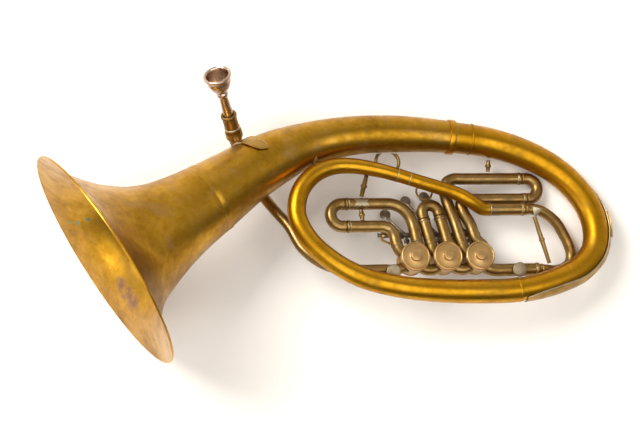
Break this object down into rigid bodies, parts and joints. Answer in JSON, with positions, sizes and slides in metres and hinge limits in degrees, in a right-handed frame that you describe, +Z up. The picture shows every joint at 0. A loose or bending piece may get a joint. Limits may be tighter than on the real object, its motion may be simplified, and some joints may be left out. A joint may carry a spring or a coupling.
{
  "type": "oval rotary-valve euphonium",
  "caption": "Oval euphonium of the tenor horn pattern with rotary valves, finger levers, tuning slides and a removable mouthpiece, lying on its side",
  "frame": {"origin": "centre of the bounding box at the ground", "axes": "+X along the horn from the bell towards the bottom bow, +Y across the oval towards the bell tube, +Z up from the ground on which the horn lies"},
  "size_m": [0.6574, 0.3268, 0.2564],
  "materials": {
    "bell_brass": "aged raw brass, tarnished in patches",
    "bow_brass": "lacquered gold brass, worn, glossy",
    "slide_brass": "dull brown brass",
    "valve_brass": "matte rose-tan brass",
    "nickel_silver": "worn nickel silver",
    "lever_steel": "dark worn steel",
    "silver_plate": "silver plated brass, warm tarnish"
  },
  "bodies": {
    "horn": {"bell_flare": "bell_brass", "bell_stem": "bell_brass", "bell_bow_ferrule": "nickel_silver", "bow_guard": "nickel_silver", "receiver_brace": "nickel_silver", "bell_bow_brace": "nickel_silver", "flange_disc_left": "nickel_silver", "flange_disc_right": "nickel_silver", "bottom_bow": "bow_brass", "left_bow": "bow_brass", "valve_branch": "bow_brass", "tuning_sleeve_upper": "slide_brass", "tuning_sleeve_lower": "slide_brass", "knuckle_1_2": "slide_brass", "knuckle_2_3": "slide_brass", "slide_1_tube_upper": "slide_brass", "slide_1_tube_lower": "slide_brass", "slide_2_tube_left": "slide_brass", "slide_2_tube_right": "slide_brass", "slide_3_tube_upper": "slide_brass", "slide_3_tube_lower": "slide_brass", "leadpipe": "slide_brass", "mouthpiece_receiver": "slide_brass", "thumb_ring": "slide_brass", "branch_slide_brace": "slide_brass", "slide_1_brace": "slide_brass", "bell_slide_brace": "slide_brass", "valve_casing_1": "valve_brass", "valve_casing_2": "valve_brass", "valve_casing_3": "valve_brass", "valve_cap_1": "valve_brass", "valve_cap_2": "valve_brass", "valve_cap_3": "valve_brass", "bearing_plate_1": "valve_brass", "bearing_plate_2": "valve_brass", "bearing_plate_3": "valve_brass", "lever_bridge": "valve_brass", "lever_spring_1": "lever_steel", "lever_spring_2": "lever_steel", "lever_spring_3": "lever_steel", "hinge_rod": "lever_steel"},
    "main_tuning_slide": {"tuning_slide": "slide_brass", "tuning_slide_brace": "slide_brass"},
    "first_slide": {"valve_slide_1": "slide_brass"},
    "second_slide": {"valve_slide_2": "slide_brass", "pull_ring": "slide_brass"},
    "third_slide": {"valve_slide_3": "slide_brass"},
    "mouthpiece": {"mouthpiece": "silver_plate"},
    "lever_1": {"lever_1": "lever_steel"},
    "rotor_1": {"rotor_1": "valve_brass", "stop_arm_1": "lever_steel"},
    "link_1": {"link_1": "lever_steel"},
    "lever_2": {"lever_2": "lever_steel"},
    "rotor_2": {"rotor_2": "valve_brass", "stop_arm_2": "lever_steel"},
    "link_2": {"link_2": "lever_steel"},
    "lever_3": {"lever_3": "lever_steel"},
    "rotor_3": {"rotor_3": "valve_brass", "stop_arm_3": "lever_steel"},
    "link_3": {"link_3": "lever_steel"}
  },
  "joints": [
    {"name": "main_tuning_slide", "type": "slide", "parent": "horn", "child": "main_tuning_slide", "axis": [0.9853, 0, -0.1711], "range_m": [0, 0.013]},
    {"name": "first_slide", "type": "slide", "parent": "horn", "child": "first_slide", "axis": [-0.9853, 0, 0.1711], "range_m": [0, 0.034]},
    {"name": "second_slide", "type": "slide", "parent": "horn", "child": "second_slide", "axis": [-0.2325, 0.957, -0.1734], "range_m": [0, 0.014]},
    {"name": "third_slide", "type": "slide", "parent": "horn", "child": "third_slide", "axis": [0.9853, 0, -0.1711], "range_m": [0, 0.004]},
    {"name": "mouthpiece_shank", "type": "slide", "parent": "horn", "child": "mouthpiece", "axis": [-0.1883, 0.6617, 0.7258], "range_m": [0, 0.03]},
    {"name": "lever_1", "type": "hinge", "parent": "horn", "child": "lever_1", "pos_m": [0.07825, -0.02403, 0.03808], "axis": [0.9853, 0, -0.1711], "range_deg": [0, 24], "stiffness_Nm_per_rad": 0.1, "springref_deg": -28.65},
    {"name": "rotor_1", "type": "hinge", "parent": "horn", "child": "rotor_1", "pos_m": [0.09365, -0.05018, 0.06827], "axis": [0.1671, 0.2149, 0.9622], "range_deg": [0, 90]},
    {"name": "link_1", "type": "hinge", "parent": "lever_1", "child": "link_1", "pos_m": [0.08947, -0.03023, 0.02227], "axis": [0.9853, 0, -0.1711], "range_deg": [-24, 0]},
    {"name": "lever_2", "type": "hinge", "parent": "horn", "child": "lever_2", "pos_m": [0.12899, -0.02403, 0.02927], "axis": [0.9853, 0, -0.1711], "range_deg": [0, 24], "stiffness_Nm_per_rad": 0.1, "springref_deg": -28.65},
    {"name": "rotor_2", "type": "hinge", "parent": "horn", "child": "rotor_2", "pos_m": [0.13158, -0.05018, 0.06168], "axis": [0.1671, 0.2149, 0.9622], "range_deg": [0, 90]},
    {"name": "link_2", "type": "hinge", "parent": "lever_2", "child": "link_2", "pos_m": [0.1274, -0.03023, 0.01568], "axis": [0.9853, 0, -0.1711], "range_deg": [-24, 0]},
    {"name": "lever_3", "type": "hinge", "parent": "horn", "child": "lever_3", "pos_m": [0.16279, -0.02403, 0.0234], "axis": [0.9853, 0, -0.1711], "range_deg": [0, 24], "stiffness_Nm_per_rad": 0.1, "springref_deg": -28.65},
    {"name": "rotor_3", "type": "hinge", "parent": "horn", "child": "rotor_3", "pos_m": [0.16951, -0.05018, 0.05509], "axis": [0.1671, 0.2149, 0.9622], "range_deg": [0, 90]},
    {"name": "link_3", "type": "hinge", "parent": "lever_3", "child": "link_3", "pos_m": [0.16533, -0.03023, 0.0091], "axis": [0.9853, 0, -0.1711], "range_deg": [-24, 0]}
  ],
  "couplings": [
    {"joint": "rotor_1", "follows": "lever_1", "ratio": 3.75},
    {"joint": "link_1", "follows": "lever_1", "ratio": -1},
    {"joint": "rotor_2", "follows": "lever_2", "ratio": 3.75},
    {"joint": "link_2", "follows": "lever_2", "ratio": -1},
    {"joint": "rotor_3", "follows": "lever_3", "ratio": 3.75},
    {"joint": "link_3", "follows": "lever_3", "ratio": -1}
  ]
}
